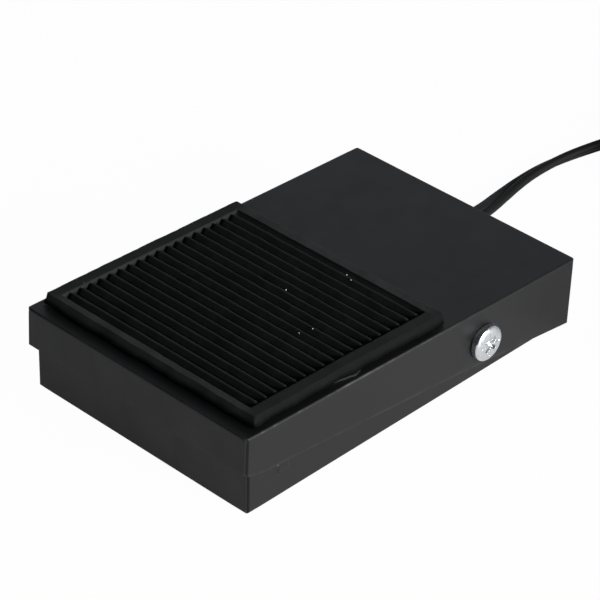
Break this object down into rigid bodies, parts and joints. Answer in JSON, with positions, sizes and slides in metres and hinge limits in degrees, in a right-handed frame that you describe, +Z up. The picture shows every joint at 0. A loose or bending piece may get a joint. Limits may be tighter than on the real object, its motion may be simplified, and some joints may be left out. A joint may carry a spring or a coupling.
{
  "type": "foot pedal switch",
  "caption": "Low black foot pedal: a sheet-metal cover with a ribbed rubber mat tilts on two screws in a shallow tray and closes a switch, with a thin lead and plug.",
  "frame": {"origin": "on the floor, under the middle of the pedal's own box, the lead and plug left out", "axes": "+Z up, -Y the front edge with the mat, +Y the rear edge that the lead leaves, +X the side of the lead's coil"},
  "size_m": [0.1098, 0.2458, 0.0269],
  "materials": {
    "cover_paint": "satin black paint on folded sheet steel",
    "tray_paint": "satin black paint on folded sheet steel",
    "mat_rubber": "moulded ribbed rubber",
    "tape": "dark foam tape",
    "foot_rubber": "soft black rubber",
    "screw_zinc": "bright zinc plate",
    "nut_zinc": "bright zinc plate",
    "spring_steel": "drawn spring wire",
    "peg_plastic": "moulded nylon",
    "cup_steel": "turned steel, spot welded",
    "boss_steel": "turned steel, spot welded",
    "switch_case_plastic": "moulded black thermoset",
    "switch_lid_plastic": "moulded black thermoset",
    "plunger_plastic": "moulded red nylon",
    "blade_bronze": "spring bronze strip",
    "terminal_brass": "tinned brass strip",
    "switch_screw_zinc": "bright zinc plate",
    "switch_nut_zinc": "bright zinc plate",
    "bracket_steel": "zinc-plated sheet steel",
    "stud_steel": "copper-flashed weld studs",
    "stud_nut_zinc": "bright zinc plate",
    "grommet_rubber": "soft black rubber",
    "clamp_steel": "zinc-plated sheet steel",
    "lead_sheath": "soft black vinyl",
    "wire_red": "red vinyl",
    "wire_black": "black vinyl",
    "plug_moulding": "soft black vinyl moulding",
    "plug_metal": "nickel plate",
    "plug_ring": "black ring"
  },
  "bodies": {
    "base": {"base_tray": "tray_paint", "rubber_feet": "foot_rubber", "pivot_screws": "screw_zinc", "pivot_nuts": "nut_zinc", "return_spring": "spring_steel", "spring_peg": "peg_plastic", "switch_case": "switch_case_plastic", "switch_lid": "switch_lid_plastic", "switch_blade": "blade_bronze", "switch_terminals": "terminal_brass", "switch_screws": "switch_screw_zinc", "switch_nuts": "switch_nut_zinc", "switch_bracket": "bracket_steel", "floor_studs": "stud_steel", "stud_nuts": "stud_nut_zinc", "cord_grommet": "grommet_rubber", "cord_clamp": "clamp_steel", "inner_lead": "lead_sheath", "wire_signal": "wire_red", "wire_common": "wire_black", "cord_run": "lead_sheath", "cord_coil": "lead_sheath", "cord_tail": "lead_sheath", "plug_boot": "plug_moulding", "plug_handle": "plug_moulding", "plug_sleeve": "plug_metal", "plug_tip": "plug_metal", "plug_insulator": "plug_ring"},
    "cover": {"pedal_cover": "cover_paint", "tread_mat": "mat_rubber", "mat_tape": "tape", "spring_cup": "cup_steel", "actuator_boss": "boss_steel"},
    "plunger": {"switch_plunger": "plunger_plastic"}
  },
  "joints": [
    {"name": "pedal_tilt", "type": "hinge", "parent": "base", "child": "cover", "pos_m": [0, 0.02384, 0.0116], "axis": [1, 0, 0], "range_deg": [0, 2.6], "stiffness_Nm_per_rad": 6, "springref_deg": -3.44, "deforming": ["return_spring"]},
    {"name": "plunger_slide", "type": "slide", "parent": "base", "child": "plunger", "axis": [0, 0, -1], "range_m": [0, 0.0012], "deforming": ["switch_blade"]}
  ],
  "couplings": [
    {"joint": "plunger_slide", "follows": "pedal_tilt", "m_per_rad": 0.025}
  ]
}
